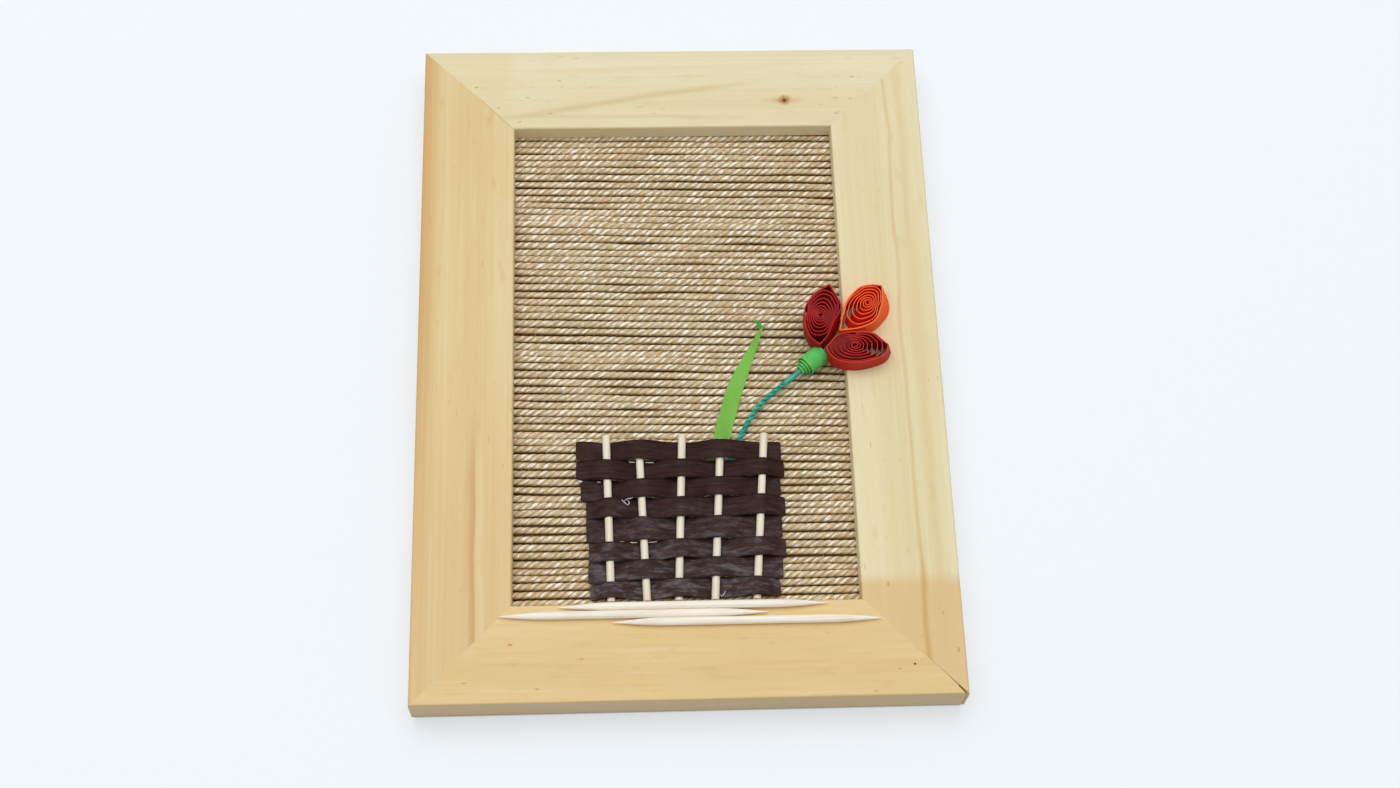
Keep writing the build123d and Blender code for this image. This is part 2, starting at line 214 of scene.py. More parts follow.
def start(name, roughness=0.5, shine=0.5, metal=0.0):
    """New material with constant values on its shader, and with its place in millimetres and its UV map."""
    material = bpy.data.materials.new(name)
    material.use_nodes = True
    tree = material.node_tree
    shader = tree.nodes["Principled BSDF"]
    connect(tree, shader, {"Roughness": roughness, "Specular IOR Level": shine, "Metallic": metal})
    given = add(tree, "TexCoord", {})
    place = add(tree, "VectorMath", {0: given.outputs["Object"], "Scale": 1000.0}, operation="SCALE")
    return material, tree, shader, place, given.outputs["UV"]


def coats(tree, base, layers):
    """Colour in coats: each tint covers what lies below by its share, as a pattern goes from low to high."""
    colour = linear(base) if isinstance(base, str) else base
    for pattern, low, high, share, tint in layers:
        cover = add(tree, "MapRange", {0: pattern, 1: low, 2: high, 4: share},
                    interpolation_type="SMOOTHSTEP")
        colour = add(tree, "Mix", {0: cover, 6: colour, 7: linear(tint)}, data_type="RGBA")
    return colour


def sanded_pine(name, heading, pale, warm, deep, streak=70.0, zones=(), lines=(), specks=(), knot=None):
    """Sanded bare pine: pale sapwood in long soft bands, with faint fibres, stains and a few resin specks.

    It looks matt with a faint satin. Streak is the fibres' length. Zones are where the board turns warmer,
    greyer or darker along one axis, by its own tone or as painted shade. Lines are growth lines and mitre
    joints, which may be sharp on one side and fade on the other. Specks are of resin where no tint is given.
    The knot is a brown eye between flames.
    """
    material, tree, shader, place, _ = start(name, 0.55, 0.3)
    grain = add(tree, "Mapping", {0: place, "Rotation": (0.0, 0.0, radians(-heading))})
    # Sizes in millimetres along the grain, across it and into the board
    fibre, band, cloud, stain, dash = (
        add(tree, "TexNoise", {0: add(tree, "VectorMath", {0: grain, 1: size}, operation="DIVIDE"),
                               "Scale": 1.0, "Detail": detail})
        for size, detail in (((streak, 0.9, 0.9), 4.0), ((220.0, 8.0, 9.0), 1.0), ((45.0, 20.0, 26.0), 2.0),
                             ((9.0, 2.6, 6.0), 2.0), ((3.5, 0.7, 0.7), 1.0)))
    sides = add(tree, "SeparateXYZ", {0: place})
    colour = coats(tree, pale, (
        (band, 0.32, 0.7, 1.0, warm), (cloud, 0.42, 0.72, 0.4, warm), (stain, 0.56, 0.8, 0.35, deep),
        *((sides.outputs[axis], edge, full, share, tint) for axis, edge, full, share, tint in zones),
        (fibre, 0.46, 0.74, 0.22, deep), (fibre, 0.44, 0.28, 0.14, "#F3EACB"),
        (dash, 0.72, 0.8, 0.35, "#B28347")))
    sway = 3.0
    shake = add(tree, "TexNoise", {0: place, "Scale": 1 / 30.0, "Detail": 1.0})
    shaken = add(tree, "VectorMath", {0: shake.outputs["Color"], 1: (sway, sway, 0.0), 2: place},
                 operation="MULTIPLY_ADD")
    for x, y, toward, below, above, reach, strength, tint in lines:
        across = (-np.sin(radians(toward)), np.cos(radians(toward)), 0.0)
        start_point = (x + sway / 2, y + sway / 2, 0.0)
        from_line = add(tree, "VectorMath", {0: shaken, 1: start_point}, operation="SUBTRACT")
        away = add(tree, "VectorMath", {0: from_line, 1: across}, operation="DOT_PRODUCT")
        rise = add(tree, "MapRange", {0: away, 1: -below, 2: 0.0})
        fall = add(tree, "MapRange", {0: away, 1: above, 2: 0.0})
        far = add(tree, "VectorMath", {0: place, 1: (x, y, front_face)}, operation="DISTANCE")
        along = add(tree, "MapRange", {0: far, 1: reach, 2: reach / 2})
        ridge = add(tree, "Math", {0: rise, 1: fall}, operation="MULTIPLY")
        mark = add(tree, "Math", {0: ridge, 1: along}, operation="MULTIPLY")
        colour = coats(tree, colour, [(mark, 0.0, 1.0, strength, tint)])
    for x, y, length, width, strength, *tint in specks:
        spot = add(tree, "VectorMath", {0: place, 1: (x, y, front_face)}, operation="SUBTRACT")
        spot = add(tree, "VectorMath", {0: spot, 1: (length, width, 2.0)}, operation="DIVIDE")
        far = add(tree, "VectorMath", {0: spot}, operation="LENGTH")
        colour = coats(tree, colour, [(far, 1.0, 0.35, strength, *(tint or [resin]))])
    if knot:
        spot = add(tree, "VectorMath", {0: place, 1: (*knot, front_face)}, operation="SUBTRACT")
        squeezed = add(tree, "VectorMath", {0: spot, 1: (0.9, 1.0, 0.3)}, operation="MULTIPLY")
        stretched = add(tree, "VectorMath", {0: spot, 1: (0.22, 1.0, 0.3)}, operation="MULTIPLY")
        rough = add(tree, "TexNoise", {0: place, "Scale": 1 / 1.3})
        eye, flame = (
            add(tree, "Math", {0: rough, 1: 0.9, 2: add(tree, "VectorMath", {0: shape}, operation="LENGTH")},
                operation="MULTIPLY_ADD") for shape in (squeezed, stretched))
        colour = coats(tree, colour, ((flame, 2.2, 0.5, 0.6, "#D6A458"), (eye, 2.5, 1.0, 0.9, "#AE7236"),
                                      (eye, 1.1, 0.7, 1.0, "#4E2A15")))
    bump = add(tree, "Bump", {"Strength": 0.5, "Distance": 0.00004, "Height": fibre})
    connect(tree, shader, {"Base Color": colour, "Normal": bump})
    return material


def jute_twine():
    """Natural jute of three strands: dry, hairy, matt and tan, with painted highlights on strand tops and
    painted shade in grooves.
    """
    material, tree, shader, _, uv = start("jute_twine", 0.85, 0.25)
    crest = add(tree, "Attribute", {}, attribute_name="crest").outputs["Fac"]
    slant = (0.0, 0.0, radians(20))
    # Sizes in millimetres along the twine and round it; fibres are coarser than real ones so that they show
    fibre, tuft, length = (
        add(tree, "TexNoise", {
            0: add(tree, "Mapping", {0: uv, "Scale": size, "Rotation": slant}, vector_type="TEXTURE"),
            "Scale": 1.0, "Detail": detail, "Roughness": 0.55})
        for size, detail in (((2.6, 0.18, 1.0), 3.0), ((2.2, 0.9, 1.0), 2.0), ((19.0, 40.0, 1.0), 2.0)))
    # Painted light on the crest attribute: pale tint and near-white glints where high, dark brown shade where
    # low.
    lit = add(tree, "MapRange", {0: tuft, 1: 0.42, 2: 0.6})
    painted_glint = add(tree, "Math", {0: crest, 1: lit}, operation="MULTIPLY")
    colour = coats(tree, "#B79665", (
        (fibre, 0.3, 0.7, 1.0, "#E2CDA2"), (tuft, 0.5, 0.36, 0.4, "#A5855A"),
        (length, 0.65, 0.35, 0.45, "#AE8D5C"), (crest, 0.55, 1.0, 0.4, "#F4E6CC"),
        (painted_glint, 0.3, 0.92, 1.0, "#FFF9EA"), (crest, 0.5, 0.0, 0.8, "#69461C")))
    bump = add(tree, "Bump", {"Strength": 0.7, "Distance": 0.00012, "Height": fibre})
    connect(tree, shader, {"Base Color": colour, "Normal": bump})
    return material


def basket_paper():
    """Dark brown coated paper: deep brown, low gloss, fine creases along it, soft grey scuffs low down, part
    wear, part painted sheen.
    """
    material, tree, shader, place, uv = start("brown_coated_paper", shine=0.12)
    streak, crumple, scuff_and_sheen = (
        add(tree, "TexNoise", {0: add(tree, "VectorMath", {0: lie, 1: size}, operation="DIVIDE"),
                               "Scale": 1.0, "Detail": 4.0, "Roughness": rough})
        for lie, size, rough in ((uv, (7.0, 0.5, 1.0), 0.6), (uv, (2.4, 1.3, 1.0), 0.55),
                                 (place, (5.6, 1.6, 5.6), 0.75)))
    height = add(tree, "SeparateXYZ", {0: place}).outputs["Y"]
    # Low rows: soft grey scuffs, part wear and part painted sheen, and a greyer tone that is painted sheen.
    low_rows = add(tree, "MapRange", {0: height, 1: -34.0, 2: -64.0, 3: 0.2, 4: 1.0})
    rubbed_and_sheen = add(tree, "MapRange", {0: scuff_and_sheen, 1: 0.43, 2: 0.7})
    worn = add(tree, "Math", {0: rubbed_and_sheen, 1: low_rows}, operation="MULTIPLY")
    # Painted shade: near-black along both edges of the strip, where one row meets the next.
    width = add(tree, "SeparateXYZ", {0: uv}).outputs["Y"]
    over = add(tree, "Math", {0: width, 1: strip_half_width}, operation="SUBTRACT")
    to_edge = add(tree, "Math", {0: over}, operation="ABSOLUTE")
    colour = coats(tree, "#25110D", (
        (streak, 0.3, 0.7, 1.0, "#3C231D"), (height, -30.0, -64.0, 0.35, "#483A39"),
        (worn, 0.0, 1.0, 0.6, "#8A8188"), (to_edge, 1.95, 2.35, 0.75, "#120705")))
    gloss = add(tree, "MapRange", {0: crumple, 1: 0.3, 2: 0.7, 3: 0.38, 4: 0.62})
    bump = add(tree, "Bump", {"Strength": 0.6, "Distance": 0.0001, "Height": crumple})
    connect(tree, shader, {"Base Color": colour, "Roughness": gloss, "Normal": bump})
    return material


def quilling_paper(colour_name, face, shade, rim):
    """Dyed quilling paper: matt, with painted shade low in the coil and where turns are packed, paler on its
    cut rim.
    """
    material, tree, shader, place, uv = start(colour_name + "_quilling_paper", 0.5, 0.15)
    height = add(tree, "SeparateXYZ", {0: place}).outputs["Z"]
    side = add(tree, "SeparateXYZ", {0: uv}).outputs["Y"]
    mottle = add(tree, "TexNoise", {0: place, "Scale": 1 / 0.7, "Detail": 3.0, "Roughness": 0.6})
    top = add(tree, "Math", {0: side, 1: 2.5, 2: 0.499}, operation="COMPARE")
    # Painted shade low in the band, turning to the face colour towards the top; then mottle and the pale rim.
    colour = coats(tree, shade, ((height, front_face + 1.0, front_face + 4.8, 1.0, face),
                                 (mottle, 0.4, 0.75, 0.25, shade), (top, 0.0, 1.0, 1.0, rim)))
    packed = add(tree, "Attribute", {}, attribute_name="packed").outputs["Fac"]
    # Painted shade where turns are packed.
    colour = coats(tree, colour, [(packed, 0.05, 0.7, 0.8, shade)])
    bump = add(tree, "Bump", {"Strength": 0.4, "Distance": 0.00002, "Height": mottle})
    connect(tree, shader, {"Base Color": colour, "Normal": bump})
    return material


def dyed_paper(name, face, shade, grain_mm):
    """Dyed craft paper, and fibre and dust like it: even and nearly matt, with a faint cloudy grain."""
    material, tree, shader, place, _ = start(name, 0.6, 0.3)
    cloud = add(tree, "TexNoise", {0: add(tree, "VectorMath", {0: place, 1: grain_mm}, operation="DIVIDE"),
                                   "Scale": 1.0, "Detail": 3.0, "Roughness": 0.6})
    bump = add(tree, "Bump", {"Strength": 0.4, "Distance": 0.00002, "Height": cloud})
    connect(tree, shader, {"Base Color": coats(tree, face, [(cloud, 0.3, 0.72, 1.0, shade)]), "Normal": bump})
    return material


def rolled_paper():
    """Dyed paper rolled tight: even green, nearly matt, with painted shade in the folds between one turn and
    the next.
    """
    material, tree, shader, place, _ = start("calyx_green_paper", 0.6, 0.25)
    cloud = add(tree, "TexNoise", {0: place, "Scale": 1 / 2.5, "Detail": 3.0, "Roughness": 0.6})
    fold_shade = add(tree, "Attribute", {}, attribute_name="fold_shade").outputs["Fac"]
    colour = coats(tree, "#66C862", ((cloud, 0.3, 0.72, 1.0, "#54B654"), (fold_shade, 0.25, 0.9, 1.0, "#0C4A1E")))
    bump = add(tree, "Bump", {"Strength": 0.4, "Distance": 0.00002, "Height": cloud})
    connect(tree, shader, {"Base Color": colour, "Normal": bump})
    return material


def split_birch(name, face, grain, size):
    """Split birch stick: nearly white wood with thin straw-coloured fibres along it and a soft satin."""
    material, tree, shader, place, _ = start(name, 0.5, 0.3)
    fibre = add(tree, "TexNoise", {0: add(tree, "VectorMath", {0: place, 1: size}, operation="DIVIDE"),
                                   "Scale": 1.0, "Detail": 3.0, "Roughness": 0.6})
    cloud = add(tree, "TexNoise", {0: place, "Scale": 1 / 9.0})
    colour = coats(tree, face, ((fibre, 0.42, 0.75, 0.8, grain), (cloud, 0.5, 0.75, 0.35, grain)))
    bump = add(tree, "Bump", {"Strength": 0.5, "Distance": 0.00004, "Height": fibre})
    connect(tree, shader, {"Base Color": colour, "Normal": bump})
    return material


def coated_wire():
    """Twisted wire in a glossy teal coat: small bright glints on each strand, darker where it is thin."""
    material, tree, shader, place, _ = start("teal_coated_wire", 0.16, 0.7)
    patch = add(tree, "TexNoise", {0: place, "Scale": 1 / 2.0})
    connect(tree, shader, {"Base Color": coats(tree, "#10AC95", [(patch, 0.35, 0.7, 1.0, "#0A8A78")])})
    return material


def driven_steel():
    """Plain rolled steel of nails and points: grey, brushed by the roll, with a few darker stains."""
    material, tree, shader, place, _ = start("rolled_steel", metal=1.0)
    brushed = add(tree, "TexNoise", {
        0: add(tree, "VectorMath", {0: place, 1: (0.25, 4.0, 0.25)}, operation="DIVIDE"), "Scale": 1.0})
    stain = add(tree, "TexNoise", {0: place, "Scale": 1 / 3.0})
    gloss = add(tree, "MapRange", {0: brushed, 1: 0.3, 2: 0.7, 3: 0.3, 4: 0.5})
    colour = coats(tree, "#B9B8B3", [(stain, 0.45, 0.7, 0.5, "#8A837A")])
    connect(tree, shader, {"Base Color": colour, "Roughness": gloss})
    return material


def grey_board():
    """Grey-brown pulp board: matt, flecked with darker and paler fibres."""
    material, tree, shader, place, _ = start("pulp_board", 0.9, 0.2)
    fleck = add(tree, "TexNoise", {0: place, "Scale": 1 / 0.8, "Detail": 4.0, "Roughness": 0.7})
    bump = add(tree, "Bump", {"Strength": 0.5, "Distance": 0.00005, "Height": fleck})
    colour = coats(tree, "#7E6748", [(fleck, 0.3, 0.7, 1.0, "#A58D68")])
    connect(tree, shader, {"Base Color": colour, "Normal": bump})
    return material


def dried_glue():
    """Dried clear glue: a thin pale film with a wet gloss."""
    material, tree, shader, place, _ = start("dried_glue", 0.25, 0.5)
    film = add(tree, "TexNoise", {0: place, "Scale": 1 / 0.6})
    connect(tree, shader, {"Base Color": coats(tree, "#E9E6EE", [(film, 0.35, 0.65, 1.0, "#9F98AE")])})
    return material


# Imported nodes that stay: four pine rails, each with its own grain and marks, the nails, points and board
resin = "#A9783C"
upper_left_joint = (-47.0, 71.0, -45.0, 0.2, 0.2, 10.0, 0.5, "#9C8A66")
lower_right_joint = (60.0, -84.0, -45.0, 0.25, 0.25, 11.0, 0.25, "#8A6A3C")
steel = driven_steel()
node_looks = {
    "frame_rail_top": sanded_pine(
        "pine_top", 0, "#E9DEBA", "#E2D3A8", "#D3BA88",
        zones=((0, -40.0, -46.0, 0.45, "#E1CE9C"),),
        lines=((-12.0, 74.5, 9.8, 1.3, 1.8, 44.0, 0.5, "#D3B47C"),
               (-12.0, 69.3, -1.0, 1.0, 1.2, 36.0, 0.35, "#D8BE8A"),
               (-6.0, 84.4, 1.5, 1.6, 1.6, 50.0, 0.3, "#D8C08C"), upper_left_joint),
        specks=((-52.2, 78.9, 0.8, 0.35, 0.55), (-38.5, 75.5, 0.9, 0.3, 0.5), (-30.1, 80.7, 0.8, 0.3, 0.5),
                (-32.5, 70.5, 0.7, 0.3, 0.5), (-46.3, 72.4, 0.6, 0.3, 0.5), (-40.6, 68.0, 0.7, 0.3, 0.5),
                (48.6, 81.2, 0.8, 0.3, 0.5), (47.8, 74.3, 0.7, 0.3, 0.45), (43.8, 69.8, 0.8, 0.3, 0.5)),
        knot=(30.0, 74.0)),
    "frame_rail_right": sanded_pine(
        "pine_right", 90, "#E9DBB2", "#E3D3A4", "#D5BC86",
        zones=((1, -59.2, -63.0, 0.8, "#DEBB80"),),
        lines=((57.0, 0.0, 90.0, 0.9, 0.9, 300.0, 0.4, "#CFA763"),
               (61.0, 0.0, 90.4, 2.6, 2.4, 300.0, 0.4, "#DABE86"),
               (57.0, -72.0, 90.0, 1.5, 1.3, 22.0, 0.5, "#C99A55"), lower_right_joint),
        specks=((48.5, -62.4, 0.35, 0.9, 0.55), (64.2, -79.2, 0.4, 1.0, 0.55),
                (47.6, -73.5, 0.3, 0.8, 0.5), (61.2, -70.0, 0.35, 0.8, 0.4))),
    "frame_rail_bottom": sanded_pine(
        "pine_bottom", 0, "#E8CC94", "#E2C288", "#D0A864", 20.0,
        # Painted shade: a greyer outer side and a dark band low on every face; the last zone keeps the back
        # pale.
        zones=((1, -89.5, -89.95, 0.45, "#A48E78"), (2, 3.8, 1.8, 0.45, "#5E4D3A"),
               (2, 0.25, 0.1, 1.0, "#E5C78E")),
        lines=(lower_right_joint,),
        specks=((-42.3, -75.7, 0.9, 0.35, 0.8, "#C07A35"), (-53.0, -84.8, 0.7, 0.3, 0.55),
                (-35.9, -86.6, 0.8, 0.3, 0.55), (-25.4, -79.5, 0.8, 0.3, 0.5),
                (53.5, -82.4, 0.42, 0.38, 1.0, "#17120E"), (49.9, -83.5, 0.8, 0.3, 0.5),
                (43.8, -88.8, 0.7, 0.3, 0.5))),
    "frame_rail_left": sanded_pine(
        "pine_left", 90, "#E4CD99", "#DDC28A", "#CEA867",
        zones=((0, -60.0, -65.6, 0.75, "#CF9F58"), (1, 15.0, -65.0, 0.75, "#E0C088")),
        lines=((-49.6, -55.0, 90.6, 1.3, 1.3, 42.0, 0.3, "#EBDCB2"),
               (-51.1, -55.0, 90.6, 0.25, 2.8, 42.0, 0.55, "#C08E55"), upper_left_joint)),
    "corner_v_nails": steel,
    "retaining_points": steel,
    "back_board": grey_board(),
}
for node, look in node_looks.items():
    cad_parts[node].material_slots[0].material = look


# Twine: one length wound round the board, three strands laid together

def twine_path():
    """Centre line of the winding and its outward direction.

    Each turn crosses the front, rolls over the right edge on half an ellipse, comes back behind and rolls
    over the left edge. Rows slope down to the right except near the foot, and wander a little.
    """
    front, edge, back = 180, 8, 108
    row_waver, side_waver, lift_waver, full_slope = 0.22, 0.09, 0.04, 1.25
    t = np.linspace(0, 1, front, endpoint=False)
    b = np.linspace(0, 1, back, endpoint=False)
    a = np.linspace(pi / 2, -pi / 2, edge, endpoint=False)
    half_depth = twine_front - twine_middle
    x = np.concatenate([board_half_width * (2 * t - 1), board_half_width + np.cos(a),
                        board_half_width * (1 - 2 * b), -board_half_width - np.cos(a)])
    z = np.concatenate([np.full(front, half_depth), half_depth * np.sin(a),
                        np.full(back, -half_depth), -half_depth * np.sin(a)])
    nx = np.concatenate([np.zeros(front), np.cos(a), np.zeros(back), -np.cos(a)])
    nz = np.concatenate([np.ones(front), np.sin(a), -np.ones(back), -np.sin(a)])
    step = np.concatenate([np.zeros(front + edge), b, np.ones(edge)])
    lean = np.concatenate([2 * t - 1, np.ones(edge), 1 - 2 * b, -np.ones(edge)])
    row = (twine_turns / 2 - 0.5 - np.arange(twine_turns + 1)) * twine_pitch
    row = row + row_waver * wander(twine_turns + 1, 1, 1.6, 1.0)[:, 0]
    slope = full_slope * np.interp(row, [-70, -52, -15, 40, 69], [0.0, 0.05, 1.0, 1.0, 0.35])
    middle = row[:-1, None] + (row[1:] - row[:-1])[:, None] * step
    tilt = slope[:-1, None] + (slope[1:] - slope[:-1])[:, None] * step
    y = middle - tilt * lean + side_waver * wander(twine_turns, len(x), 1.3, 22.0)
    z = twine_middle + z + lift_waver * wander(twine_turns, len(x), 1.0, 15.0) * nz
    path = np.stack([np.broadcast_to(x, y.shape), y, z], -1).reshape(-1, 3)
    outward = np.tile(np.stack([nx, np.zeros(len(x)), nz], -1), (twine_turns, 1))
    return path, outward, len(x)


def twine_pieces(material):
    """Winding in four lengths, with a ring of three soft circles that touch.

    The ring turns back by one full turn for each lay, and spreads a little along the board where the rows
    press together. The crest value is highest along the middle of each strand and falls to nothing at the
    row's sides, where the gaps are; the material paints highlights and glints where it is high and shade
    where it is low.
    """
    path, outward, per_turn = twine_path()
    run = lengths_along(path)
    lay, sides = 5.9, 15
    groove_depth, thickness_waver, twist_waver, pressed_wider = 0.36, 0.035, 1.8, 0.05
    ring = ring_of(sides)
    lobe = (ring * 3 / tau % 1 - 0.5) * tau / 3
    crest = 0.5 * np.cos(lobe) + np.sqrt(0.25 - 0.25 * np.sin(lobe) ** 2)
    softened = 1 - groove_depth * (1 - crest)
    radius = twine_radius * (1 + thickness_waver * wander(len(path), 1, 25.0, 1.0)[:, 0])
    twist = tau * run / lay + twist_waver * wander(len(path), 1, 210.0, 1.0)[:, 0]
    points = rings(path, outward, radius, ring - twist[:, None], softened)
    sideways = points[..., 1] - path[:, None, 1]
    points[..., 1] += sideways * np.interp(path[:, 1], [-45, 45], [0.0, pressed_wider])[:, None]
    # Painted shade on the rows' sides, offset so that each row's upper side darkens sooner than its lower
    # side.
    shaded = np.abs(sideways + 0.07) / twine_radius
    shaded_row_side = np.clip((shaded - 0.58 + 0.1 * wander(len(path), 1, 22.0, 1.0)) / 0.4, 0, 1)
    painted_crest_light = (0.3 + 0.7 * (crest - 0.5) / 0.5) * (1 - shaded_row_side**2 * (3 - 2 * shaded_row_side))
    uv = wrap_uv(run, np.arange(sides + 1) / sides * tau * twine_radius)
    for count, (first, last) in enumerate(((0, 17), (17, 34), (34, 51), (51, twine_turns))):
        part = slice(first * per_turn, min(last * per_turn + 1, len(path)))
        piece(f"twine_length_{count + 1}", [(points[part], uv[part], "caps")], material,
              ["twine_winding"], 180, ("crest", painted_crest_light[part]))


def twine_hairs(material):
    """Loose fibres: thin hairs that leave a row, bow to one side and lie back on the twine."""
    surfaces = []
    hair_count, hair_radius, sides, girth = 230, 0.035, 3, 0.21
    lying_height, arch = twine_front + 0.95, 0.4
    window = np.array([41.6, 65.6])
    t = np.linspace(0, 1, 7)
    while len(surfaces) < hair_count:
        x, y = chance.uniform(-41, 41), chance.uniform(-64, 65)
        heading, reach, bow = chance.uniform(0, tau), chance.uniform(1.5, 4.5), chance.normal(0, 0.5)
        by_basket = abs(x) < 31 and y < -18
        by_flower = x > 22 and -12 < y < 18
        by_leaf = 4 < x < 32 and -30 < y < 12
        if by_basket or by_flower or by_leaf:
            continue
        along = np.array([np.cos(heading), np.sin(heading)])
        across = along[::-1] * [-1, 1]
        flat = np.array([x, y]) + np.outer(t * reach, along) + np.outer(np.sin(pi * t) * bow, across)
        flat = np.clip(flat, -window, window)
        height = lying_height + arch * np.sin(pi * t) * chance.uniform(0.3, 1.0)
        path = np.column_stack([flat, height])
        surfaces.append(tube(path, t * reach, hair_radius * (1.1 - 0.6 * t), sides, girth))
    # Hairs are crest all along: they take the painted highlights and glints everywhere.
    painted_crest_light = np.ones((hair_count, len(t), sides))
    piece("twine_hairs", surfaces, material, (), 180, ("crest", painted_crest_light))


twine = jute_twine()
twine_pieces(twine)
twine_hairs(twine)


# Basket: paper strips woven behind and in front of five stakes

def stake_place(number, y):
    """Place across of a stake's axis at a height up the picture."""
    share = (y - basket_foot) / (basket_rim - basket_foot)
    return stake_foot[number] + (stake_rim[number] - stake_foot[number]) * share


# Heights of the weave's dividing lines from the rim down, at five places across
row_left = (-22.0, -27.5, -32.5, -38.6, -43.1, -49.4, -54.4, -59.9, -63.9)
row_left_stake = (-22.6, -28.0, -33.3, -38.1, -43.1, -49.5, -54.4, -59.6, -63.9)
row_middle = (-22.7, -28.1, -32.9, -38.0, -43.3, -48.9, -53.9, -58.9, -64.0)
row_right_stake = (-23.1, -28.0, -32.6, -37.6, -43.0, -48.8, -53.6, -58.9, -63.9)
row_right = (-22.9, -28.3, -33.1, -37.9, -43.2, -48.7, -53.6, -59.3, -64.0)
# Ends of each strip, and the rows and stakes where less is tucked in, so that a slit stays open
strip_left_end = (-26.5, -26.5, -25.4, -24.1, -24.1, -23.5, -23.7, -23.3)
strip_right_end = (24.6, 25.2, 24.1, 25.0, 24.0, 24.7, 23.7, 22.9)
open_gaps = {(1, 1): 0.15, (1, 3): 0.0, (5, 1): 0.35}


def strip_edge(line, x, ends):
    """Height of one dividing line of the weave, read at the ends, the outer stakes and the middle."""
    places = (ends[0], -18.5, -1.0, 18.8, ends[1])
    heights = (row_left[line], row_left_stake[line], row_middle[line], row_right_stake[line], row_right[line])
    return np.interp(x, places, heights)


def woven_strip(row, material):
    """Strip as a flat ring carried along the weave.

    Its height follows half cosines from stake to stake, its edges follow the weave's dividing lines and tuck
    under the row above behind a stake, and across its width it bows forwards and twists a little.
    """
    count, across, uv_step = 200, 12, 60
    ends = (strip_left_end[row], strip_right_end[row])
    middle = basket_rim - row * row_spacing - strip_half_width
    crossings = np.array([stake_place(n, middle) for n in range(5)])
    lift, tuck, half_gap, waver = 1.27, 0.8, 0.05, 0.07
    corner_cut, corner_length = 0.5, 0.35
    heights = np.where((np.arange(5) + row) % 2 == 1, lift, -lift)
    rest = chance.uniform(-1.05, -0.75, 2)
    stations = np.concatenate([[ends[0]], crossings, [ends[1]]])
    tucked = np.where(heights < 0, tuck, 0.0) * [open_gaps.get((row, n), 1.0) for n in range(5)]
    heights = np.concatenate([[rest[0]], heights, [rest[1]]])
    tucked = np.concatenate([tucked[:1], tucked, tucked[-1:]]) * (row > 0)
    x = np.linspace(ends[0], ends[1], count)
    k = np.clip(np.searchsorted(stations, x) - 1, 0, 5)
    f = (x - stations[k]) / (stations[k + 1] - stations[k])
    z = heights[k] + (heights[k + 1] - heights[k]) * (1 - np.cos(pi * f)) / 2
    upper = strip_edge(row, x, ends) - half_gap + waver * wander(count, 1, 14, 1)[:, 0]
    lower = strip_edge(row + 1, x, ends) + half_gap + waver * wander(count, 1, 14, 1)[:, 0]
    upper = upper + (tucked[k] + (tucked[k + 1] - tucked[k]) * f) * np.clip(-z / lift, 0, 1)
    rounding = corner_cut * np.exp(-np.minimum(x - ends[0], ends[1] - x) / corner_length)
    upper, lower = upper - rounding, lower + rounding
    v = np.concatenate([np.linspace(-1, 1, across), np.linspace(1, -1, across)])
    side = np.repeat([1.0, -1.0], across)
    half_thick = 0.12 * np.sqrt(np.clip(1 - np.abs(v) ** 6, 0, 1)) + 0.02
    y = (upper + lower)[:, None] / 2 + (upper - lower)[:, None] / 2 * v
    bow = -0.06 * v**2 + 0.02
    twist = 0.10 * wander(count, 1, 30, 1) * v
    pucker = 0.05 * wander(count, across, 6, 4)
    pucker = np.concatenate([pucker, pucker[:, ::-1]], axis=1)
    zz = weave_middle + z[:, None] + bow + twist + pucker + side * half_thick
    points = np.stack([np.broadcast_to(x[:, None], y.shape), y, zz], -1)[:, ::-1]
    along = lengths_along(np.column_stack([x, z]))
    around = np.concatenate([(v[::-1] + 1) * strip_half_width, [4 * strip_half_width]])
    uv = wrap_uv(along + uv_step * row, around)
    piece(f"basket_strip_{row + 1}_woven", [(points, uv, "caps")], material,
          [f"basket_strip_{row + 1}"], 50)


def round_stake(number, material):
    """Stake as a ring carried from foot to head, not quite round, with cut ends that are a little worn."""
    sides, below_foot = 22, 0.5
    above_rim = 0.9 if number % 2 else 2.3
    foot, head = (np.array([stake_place(number, y), y, weave_middle])
                  for y in (basket_foot - below_foot, basket_rim + above_rim))
    length = np.linalg.norm(head - foot)
    stations = np.concatenate([[0, 0.04, 0.12], np.linspace(0.5, length - 0.5, 30),
                               [length - 0.12, length - 0.04, length]])
    worn = np.minimum(stations, length - stations)
    size = stake_radius * np.interp(worn, [0, 0.04, 0.12], [0.86, 0.95, 1.0])
    path = foot + np.outer(stations / length, head - foot)
    shape = 1 - 0.03 * np.abs(wander(len(stations), sides, 20, 3))
    shape[:, -4:] = shape[:, -4:] * np.linspace(1, 0, 4) + shape[:, :1] * np.linspace(0, 1, 4)
    surface = tube(path, stations, size, sides, tau * stake_radius, shape)
    piece(f"stake_{number + 1}_round", [surface], material,
          [f"basket_stake_{number + 1}"], 40)


strip_paper = basket_paper()
for row in range(8):
    woven_strip(row, strip_paper)

stake_wood = split_birch("stake_birch", "#F1E7D0", "#DDCCAC", (0.35, 22.0, 0.35))
for number in range(5):
    round_stake(number, stake_wood)


# Toothpicks on the lower rail

